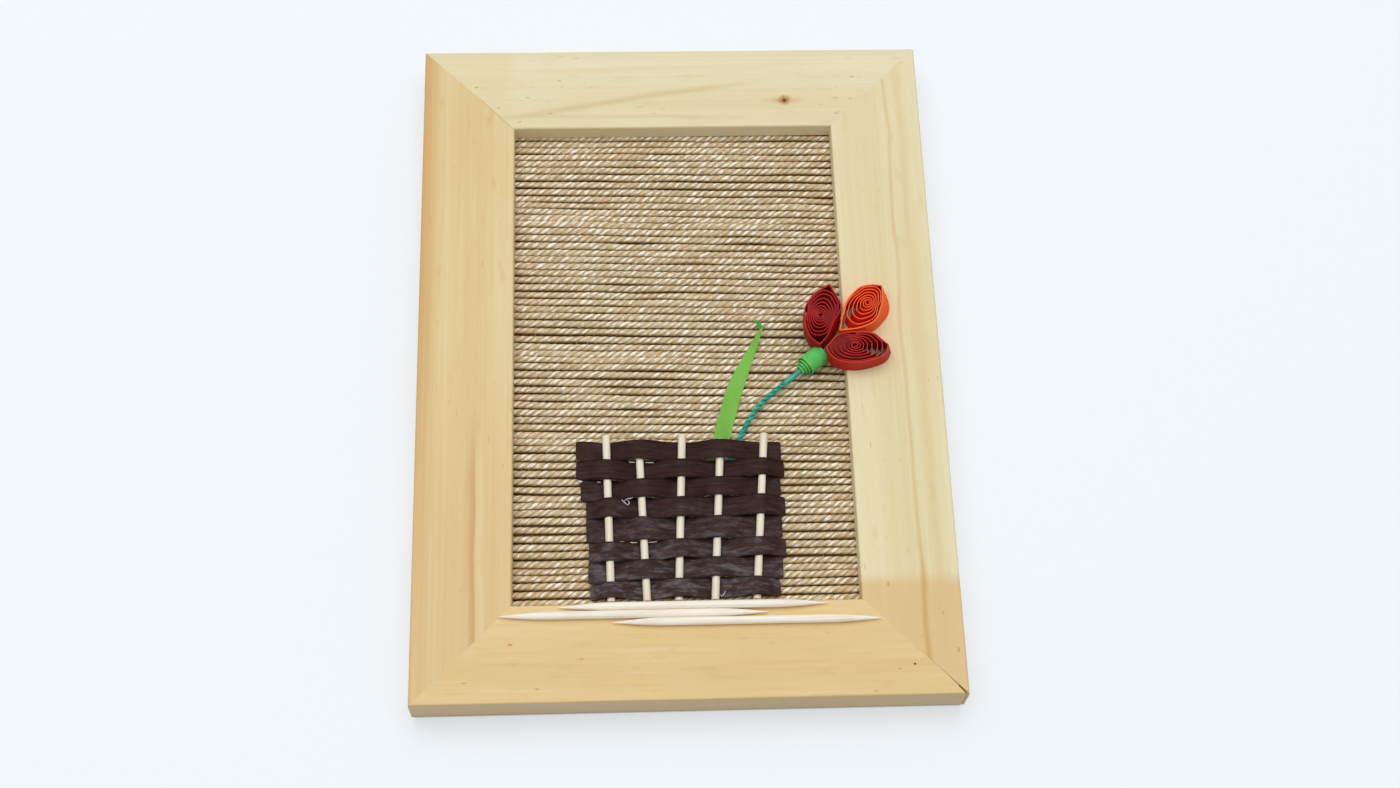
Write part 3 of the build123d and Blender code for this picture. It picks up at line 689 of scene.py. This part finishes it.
def pointed_pick(name, left, right, material):
    """Toothpick as a ring carried from point to point: straight, then drawn to a fine tip at each end."""
    tip_length, tip_radius, pick_radius = 13, 0.07, 0.99
    sides, girth, tip_sag = 22, 6.2, 0.35
    axis_height = front_face + 1.0
    left, right = np.array([*left, axis_height]), np.array([*right, axis_height])
    length = np.linalg.norm(right - left)
    taper = np.linspace(0, 1, 18)
    shank = np.linspace(tip_length + 0.6, length - tip_length - 0.6, 40)
    stations = np.concatenate([taper * tip_length, shank, length - taper[::-1] * tip_length])
    near = np.minimum(stations, length - stations) / tip_length
    size = tip_radius + (pick_radius - tip_radius) * np.sin(np.clip(near, 0, 1) * pi / 2)
    path = left + np.outer(stations / length, right - left)
    points, uv, ends = tube(path, stations, size, sides, girth)
    points[..., 2] -= (np.maximum(0, 1 - near) ** 2 * tip_sag)[:, None]
    points[..., 2] = np.maximum(points[..., 2], front_face + 0.01)
    piece(f"{name}_pointed", [(points, uv, ends)], material, [name], 50)


pick_wood = split_birch("toothpick_birch", "#FDF5E8", "#E8D2B2", (22.0, 0.35, 0.35))
pointed_pick("toothpick_upper", (-31.0, -66.98), (33.6, -67.04), pick_wood)
pointed_pick("toothpick_lower_left", (-45.4, -69.0), (19.2, -69.02), pick_wood)
pointed_pick("toothpick_lower_right", (-18.1, -70.95), (46.5, -71.1), pick_wood)


# Leaf

def leaf_band(material, tip_material):
    """Leaf as a flat ring carried between its two edges; the folded tip is a second band that turns back."""
    cup, half_thick, columns = 0.09, 0.09, 10
    left = curve_through([(6.3, -27.4, 7.24), (8.04, -20.85, 7.24), (10.1, -13.5, 7.26), (12.19, -6.98, 7.34),
                          (14.9, -1.9, 7.5), (17.09, 1.81, 7.7), (19.1, 5.2, 8.0), (20.77, 7.89, 8.35)], 90)
    right = curve_through([(10.4, -27.8, 7.24), (12.24, -21.38, 7.24), (14.2, -14.2, 7.26),
                           (16.22, -7.6, 7.34), (17.8, -3.2, 7.5), (19.22, 0.82, 7.7), (20.5, 4.7, 8.0),
                           (21.63, 8.16, 8.35)], 90)
    tip_left = curve_through([(20.77, 7.89, 8.35), (20.35, 8.6, 8.42), (19.72, 9.6, 8.3),
                              (19.42, 9.95, 8.2)], 14)
    tip_right = curve_through([(21.63, 8.16, 8.35), (21.25, 9.05, 8.5), (20.3, 10.2, 8.42),
                               (19.62, 10.2, 8.25)], 14)
    v = np.concatenate([np.linspace(0, 1, columns), np.linspace(1, 0, columns)])
    side = np.repeat([1.0, -1.0], columns)
    for name, first, second, look, nodes in (("leaf_band", left, right, material, ["leaf_strip"]),
                                             ("leaf_tip", tip_left, tip_right, tip_material, ())):
        points = first[:, None] + (second - first)[:, None] * v[:, None]
        across = 2 * v - 1
        points[..., 2] += cup * across**2 + side * half_thick * np.sqrt(np.clip(1 - across**8, 0.02, 1))
        run = lengths_along((first + second) / 2)
        uv = wrap_uv(run, np.concatenate([v, [0]]) * 4)
        piece(name, [(points, uv, "caps")], look, nodes, 50)


leaf_green = dyed_paper("leaf_green_paper", "#7CBC48", "#70AE3E", (6.0, 14.0, 6.0))
fold_green = dyed_paper("leaf_fold_green_paper", "#2FA53C", "#239334", (3.0, 3.0, 3.0))
leaf_band(leaf_green, fold_green)


# Stem: two coated strands twisted together, then a smooth sleeve up to the calyx

def stem_strands(material):
    """Two strands laid round the stem's line, half a turn apart; the sleeve over their end is one tube."""
    lay, strand_radius, strand_offset, sleeve_length = 3.4, 0.37, 0.34, 7.0
    sides, strand_girth, sleeve_girth = 12, 2.3, 4.4
    line = curve_through([(11.9, -27.9, 7.8), (14.4, -22.4, 7.95), (16.4, -18.5, 8.1), (19.0, -14.5, 8.4),
                          (22.0, -11.4, 8.8), (25.4, -8.7, 9.3), (28.2, -6.6, 9.8), (30.4, -4.8, 10.0),
                          (33.0, -2.7, 10.0)], 260)
    run = lengths_along(line)
    surfaces = []
    last = int(np.searchsorted(run, run[-1] - sleeve_length))
    for half in (0, 1):
        turn = tau * run / lay + half * pi
        centre = rings(line, up, strand_offset, turn[:, None])[:, 0]
        surfaces.append(tube(centre[:last], run[:last], strand_radius, sides, strand_girth))
    sleeve = slice(last - 18, len(line))
    grow = np.interp(run[sleeve], run[sleeve][0] + np.array([0, 0.6, 2.5]), [0.5, 0.66, 0.72])
    surfaces.append(tube(line[sleeve], run[sleeve], grow, sides, sleeve_girth))
    piece("stem_twisted_wire", surfaces, material, ["flower_stem"])


stem_strands(coated_wire())


# Flower

def stepped_calyx(material):
    """Rolled calyx: a profile turned about the flower's axis. Its steps are the roll's turns."""
    heading = radians(39.0)
    axis = np.array([np.cos(heading), np.sin(heading), 0.0])
    side = np.array([-axis[1], axis[0], 0.0])
    mouth = np.array([36.2, 0.05, 10.0])
    outer = [(0.0, 2.54), (0.05, 2.58), (0.2, 2.6), (2.8, 2.6), (5.4, 2.58), (5.62, 2.57), (5.68, 2.5),
             (5.4, 2.18), (5.4, 2.1), (6.25, 2.08), (6.31, 2.02), (6.05, 1.74), (6.05, 1.68), (6.9, 1.66),
             (6.96, 1.6), (6.7, 1.34), (6.7, 1.28), (7.5, 1.26), (7.6, 1.2), (7.62, 0.8)]
    inner = [(6.0, 0.78), (3.5, 0.78), (3.5, 2.1), (1.0, 2.15), (0.05, 2.22)]
    fold_corners = (7, 8, 11, 12, 15, 16)
    profile = np.array(outer + inner)
    turn = ring_of(64)
    back, reach = profile[:, 0], profile[:, 1]
    points = (mouth - back[None, :, None] * axis + reach[None, :, None] * (
        np.cos(turn)[:, None, None] * side + np.sin(turn)[:, None, None] * up))
    around = np.concatenate([lengths_along(profile), [20.0]])
    # Painted shade in the folds at the steps, and painted shadow of the petals round the mouth's rim.
    fold_shade = np.isin(np.arange(len(profile)), fold_corners) | (back < 0.1)
    piece("calyx_rolled", [(points, wrap_uv(turn * 2.4, around), "joined")], material,
          ["flower_calyx"], 35, ("fold_shade", np.broadcast_to(fold_shade.astype(float), points.shape[:2])))


stepped_calyx(rolled_paper())


def outline_of(first_side, second_side, core, directions):
    """Distance from the core to the petal's outline in each direction; its two sides meet at the tips."""
    edge = np.vstack([curve_through(first_side, 200), curve_through(second_side, 200)]) - core
    heading = np.arctan2(edge[:, 1], edge[:, 0]) % tau
    order = np.argsort(heading, kind="stable")
    away = np.linalg.norm(edge, axis=1)
    return np.interp(directions, heading[order], away[order], period=tau)


def upright_band(flat, thickness, bottom, top, ends):
    """Band standing on its edge along a flat line: its section's four corners are carried along the line."""
    bottom, top = np.broadcast_to(bottom, len(flat)), np.broadcast_to(top, len(flat))
    along = (np.roll(flat, -1, 0) - np.roll(flat, 1, 0)) if ends == "joined" else np.gradient(flat, axis=0)
    along /= np.linalg.norm(along, axis=1, keepdims=True)
    out = np.column_stack([along[:, 1], -along[:, 0]]) * np.reshape(thickness, (-1, 1)) / 2
    corners = [np.column_stack([flat - out, bottom]), np.column_stack([flat + out, bottom]),
               np.column_stack([flat + out, top]), np.column_stack([flat - out, top])]
    return np.stack(corners, 1), wrap_uv(lengths_along(flat), np.arange(5.0)), ends


def dip_into_calyx(points, foot, depth):
    """Lowers a petal near its foot by a smooth step, and shifts it so that its outline keeps its place."""
    dip_length, shift_right, shift_up = 9.0, 0.085, 0.51
    away = np.linalg.norm(points[..., :2] - np.array(foot), axis=-1)
    near = np.clip(1 - away / dip_length, 0, 1)
    drop = depth * near**2 * (3 - 2 * near)
    return points + np.stack([shift_right * drop, shift_up * drop, -drop], -1)


def facing(angle, heading, half_width):
    """Smooth hump: one in a heading, in degrees, falling to nothing at a half width from it."""
    off = np.abs((angle - radians(heading) + pi) % tau - pi) / radians(half_width)
    return np.cos(np.clip(off, 0, 1) * pi / 2) ** 2


def quilled_petal(name, first_side, second_side, wall_look, coil_look, core, turns, paper, begin, depth,
                  pressed=(0, 30, 0), lean=(0, 30, 0), splay=(0, 30, 0), round_to=99.0):
    """Eye coil: a wall on the petal's outline, and a paper ribbon that winds out from the core inside it.

    The ribbon is a spiral. Near the core it is round; further out it takes the outline with its corners
    rounded off, so turns crowd where the wall is near, stand apart where it is far, and leave the corners
    open. Pressed gives where the turns are pinched together, as a heading, a half width and the share of the
    space between turns that paper fills there. Lean gives where the wall's top stands in, splay where its
    foot stands out, each as a heading, a half width and a length. All but the last two turns stay within a
    circle of the radius round_to. Paper is the ribbon's thickness, begin the spiral's first heading, and
    depth how far the petal's foot dips into the calyx.
    """
    wall, clearance, directions, steps_per_turn, kept_waves = 0.3, 0.2, 360, 90, 3
    core = np.array(core)
    foot = first_side[0]
    low, high = front_face + 0.02, front_face + petal_height
    angle = ring_of(directions)
    reach = outline_of(first_side, second_side, core, angle)
    toward = np.column_stack([np.cos(angle), np.sin(angle)])
    points, uv, ends = upright_band(core + toward * reach[:, None], wall, low, high, "joined")
    inwards = lean[2] * facing(angle, *lean[:2])
    points[:, 2:, :2] -= (toward * inwards[:, None])[:, None]
    points[:, :2, :2] += (toward * splay[2] * facing(angle, *splay[:2])[:, None])[:, None]
    piece(name + "_wall", [(dip_into_calyx(points, foot, depth), uv, ends)], wall_look, [name], 40)

    reach = reach - inwards
    waves = np.fft.rfft(reach)
    waves[kept_waves:] = 0
    rounded = np.minimum(np.fft.irfft(waves, directions), reach)
    steps = int(turns * steps_per_turn)
    winding = begin + np.linspace(0, tau * turns, steps)
    share = np.linspace(0.13, 0.96, steps)
    outer = np.interp(winding, angle, rounded, period=tau)
    limit = np.interp(winding, angle, reach, period=tau) - clearance
    follow = np.clip((share - 0.1) / 0.75, 0, 1)
    loose = np.clip((winding - winding[-1]) / (2 * tau) + 1.05, 0, 1)
    outer = np.minimum(outer, round_to + np.maximum(outer - round_to, 0) * loose)
    away = np.minimum(share * ((1 - follow) * rounded.min() + follow * outer), limit)
    # Packed is where turns are pinched; the material paints shade on the paper there.
    packed = facing(winding, *pressed[:2]) * np.minimum(2 * follow, 1) * (pressed[2] > 0)
    next_turn = np.where(winding + tau > winding[-1], limit, np.interp(winding + tau, winding, away))
    filled = packed * np.maximum(pressed[2] * (next_turn - away) - paper, 0)
    coil = core + np.column_stack([np.cos(winding), np.sin(winding)]) * (away + filled / 2)[:, None]
    sink = 0.35 * (1 - share) + 0.12 * np.abs(wander(steps, 1, 30, 1)[:, 0])
    points, uv, ends = upright_band(coil, paper + filled, low, high - sink, "caps")
    piece(name + "_coil", [(dip_into_calyx(points, foot, depth), uv, ends)], coil_look, [name], 40,
          ("packed", np.repeat(packed[:, None], 4, 1)))


# Wall and coil of a petal are lit and shaded copies of one paper: the wall's colours painted lighter, the
# coil's darker.
dark_red_lit_wall = quilling_paper("dark_red", "#C01A1A", "#9C1013", "#B41E1D")
dark_red_shaded_coil = quilling_paper("dark_red_shaded", "#A61018", "#800A10", "#A81A1C")
orange_lit_wall = quilling_paper("orange", "#FF6628", "#FA5C22", "#FF7236")
orange_shaded_coil = quilling_paper("orange_shaded", "#FC3C1A", "#E22A12", "#FA5E32")
red_lit_wall = quilling_paper("red", "#C62A1C", "#B82218", "#CA342A")
red_shaded_coil = quilling_paper("red_shaded", "#B0151A", "#6E070B", "#B82A26")
quilled_petal("petal_left", [(35.14, -0.88), (37.2, 1.1), (39.3, 4.1), (40.65, 8.0), (40.85, 10.6),
                             (38.39, 16.1)],
              [(38.39, 16.1), (34.51, 13.5), (32.1, 10.2), (31.68, 7.41), (31.9, 4.2), (33.0, 1.2),
               (35.14, -0.88)],
              dark_red_lit_wall, dark_red_shaded_coil,
              core=(35.6, 7.8), turns=7.4, paper=0.34, begin=1.0, depth=2.4,
              pressed=(-15, 60, 0.9), lean=(-40, 70, 1.2), splay=(-10, 60, 0.3))
quilled_petal("petal_upper", [(40.3, 3.1), (45.2, 3.75), (49.7, 5.4), (52.2, 8.3), (52.95, 11.2),
                              (51.9, 15.9)],
              [(51.9, 15.9), (48.9, 15.8), (45.83, 14.9), (42.6, 11.35), (41.45, 7.93), (40.3, 3.1)],
              orange_lit_wall, orange_shaded_coil,
              core=(47.8, 10.9), turns=6.2, paper=0.24, begin=2.4, depth=0.6,
              lean=(-15, 100, 1.6), splay=(40, 100, 1.2))
quilled_petal("petal_lower", [(36.7, -1.5), (37.8, -3.75), (40.02, -5.29), (44.24, -5.78), (48.97, -4.8),
                              (51.7, -3.3), (52.7, -1.0)],
              [(52.7, -1.0), (48.88, 2.1), (45.04, 2.65), (40.16, 1.95), (36.7, -1.5)],
              red_lit_wall, red_shaded_coil,
              core=(44.0, -0.9), turns=6.6, paper=0.24, begin=4.0, depth=2.0,
              pressed=(176, 80, 0.97), lean=(2, 35, 0.5), splay=(8, 45, 0.75), round_to=7.0)


# Small traces: dried glue, fibres and dust

def threads(name, lines, material):
    """Threads of glue or fibre: each is a thin tube along a smooth curve, thinner at its ends."""
    surfaces = []
    sides, girth = 8, 0.64
    for points, radius, count in lines:
        line = curve_through(points, count)
        size = radius * (0.35 + 0.65 * np.sin(pi * np.linspace(0, 1, count)) ** 0.5)
        surfaces.append(tube(line, lengths_along(line), size, sides, girth))
    piece(name, surfaces, material)


# A curl of dried film on the fourth strip, a thread by a stake's foot, and two dabs between two strips
threads("glue_traces", (
    ([(-15.3, -38.5, 9.35), (-14.6, -39.3, 9.4), (-13.9, -39.9, 9.45), (-13.4, -39.3, 9.5),
      (-13.9, -38.8, 9.5)], 0.12, 40),
    ([(-14.7, -38.9, 9.45), (-13.9, -38.4, 9.55), (-13.2, -38.3, 9.5), (-12.3, -37.9, 9.35)], 0.12, 30),
    ([(8.1, -63.6, 9.9), (8.4, -64.1, 10.2), (8.9, -63.6, 10.4), (9.3, -62.9, 10.5)], 0.13, 24),
    ([(-26.2, -32.9, 8.0), (-25.6, -33.05, 8.1), (-24.9, -33.1, 8.0)], 0.26, 16),
    ([(-21.3, -33.4, 8.4), (-20.4, -33.5, 8.4)], 0.16, 12),
), dried_glue())

# Pale threads in the slits beside the second stake: painted light, standing in for lit twine seen through the
# slits
threads("slit_painted_light", (
    ([(-13.6, -27.95, 7.9), (-12.6, -28.2, 8.1), (-11.8, -28.2, 8.1)], 0.16, 16),
    ([(-9.4, -28.3, 8.1), (-8.2, -28.35, 8.1), (-6.6, -28.3, 8.0)], 0.14, 16),
    ([(-16.0, -49.1, 8.2), (-14.0, -49.3, 8.3), (-11.6, -49.35, 8.2)], 0.2, 20),
    ([(-9.3, -49.3, 8.1), (-7.8, -49.2, 8.0), (-6.2, -49.0, 8.0)], 0.13, 16),
), dyed_paper("pale_painted_light", "#F6EBD6", "#E2D2B4", (1.5, 1.5, 1.5)))


def mitre_dust(material):
    """Glue and wood dust in the inner part of the open mitre, sinking towards its dark outer end."""
    clearance, dust_floor, below_face, sag = 0.04, 9.0, 0.05, 0.9
    t = np.linspace(0.1, 0.66, 15)
    seam = mitre_gap_inner_end + np.outer(t, mitre_gap_run)
    thickness = mitre_gap_width * t - clearance
    top = front_face - below_face - sag * t**2
    piece("mitre_dust", [upright_band(seam, thickness, dust_floor, top, "caps")], material)


mitre_dust(dyed_paper("glued_wood_dust", "#DDBE86", "#CBA870", (1.5, 1.5, 1.5)))


# Floor, light and camera

def pale_floor():
    """Plain pale floor: half lit by itself for the eye, so that shadows stay faint, and clear from below."""
    material, tree, shader, _, _ = start("pale_floor", 0.9, 0.1)
    connect(tree, shader, {"Base Color": linear("#F1F5F9")})
    seen = add(tree, "NewGeometry", {})
    clear = add(tree, "BsdfTransparent", {})
    ray = add(tree, "LightPath", {}).outputs
    looks = add(tree, "Math", {0: ray["Is Camera Ray"], 1: ray["Is Glossy Ray"]}, operation="MAXIMUM")
    looks = add(tree, "Math", {0: looks, 1: ray["Is Transmission Ray"]}, operation="MAXIMUM")
    share = add(tree, "Math", {0: looks, 1: 0.5}, operation="MULTIPLY")
    glow = add(tree, "Emission", {"Color": linear("#F6FBFF"), "Strength": 1.0})
    upper = add(tree, "MixShader", {0: share, 1: shader, 2: glow})
    either = add(tree, "MixShader", {0: seen.outputs["Backfacing"], 1: upper, 2: clear})
    connect(tree, tree.nodes["Material Output"], {"Surface": either})
    return material


# The floor is open under the frame, so that light from below reaches the frame's back and nothing else
floor_half, open_half_width, open_half_height = 3.0, 0.0656, 0.0896
floor_corners = [(x * right, y * above, 0.0)
                 for x, y in ((floor_half, floor_half), (open_half_width, open_half_height))
                 for right, above in ((-1, -1), (1, -1), (1, 1), (-1, 1))]
floor_mesh = bpy.data.meshes.new("floor")
floor_mesh.from_pydata(floor_corners, [], [(0, 1, 5, 4), (1, 2, 6, 5), (2, 3, 7, 6), (3, 0, 4, 7)])
floor_mesh.materials.append(pale_floor())
floor = bpy.data.objects.new("floor", floor_mesh)
bpy.context.scene.collection.objects.link(floor)

world = bpy.data.worlds.new("studio")
bpy.context.scene.world = world
world.use_nodes = True
background = world.node_tree.nodes["Background"]
connect(world.node_tree, background, {"Color": linear("#F6F9FD"), "Strength": 0.5})


def soft_light(name, place, size, power):
    """Square soft light that faces the frame's centre."""
    lamp = bpy.data.lights.new(name, "AREA")
    lamp.size = size
    lamp.energy = power
    made = bpy.data.objects.new(name, lamp)
    made.location = place
    made.rotation_mode = "QUATERNION"
    made.rotation_quaternion = (-Vector(place)).to_track_quat("-Z", "Y")
    bpy.context.scene.collection.objects.link(made)


soft_light("key_light", (-0.12, 0.25, 1.6), size=1.7, power=18.4)
soft_light("back_light", (0.3, -0.6, -1.4), size=1.5, power=12.0)

# The camera's place and lens are solved from the frame's corners in the photograph
camera = bpy.data.cameras.new("camera")
camera.sensor_width = 36.0
camera.lens = 51.635
camera.clip_start = 0.01
seat = bpy.data.objects.new("camera", camera)
seat.matrix_world = Matrix((
    (0.998969, 0.015829, -0.042548, -0.016664),
    (-0.031657, 0.914660, -0.402983, -0.214147),
    (0.032539, 0.403915, 0.914218, 0.471373),
    (0.0, 0.0, 0.0, 1.0),
))
bpy.context.scene.collection.objects.link(seat)
bpy.context.scene.camera = seat
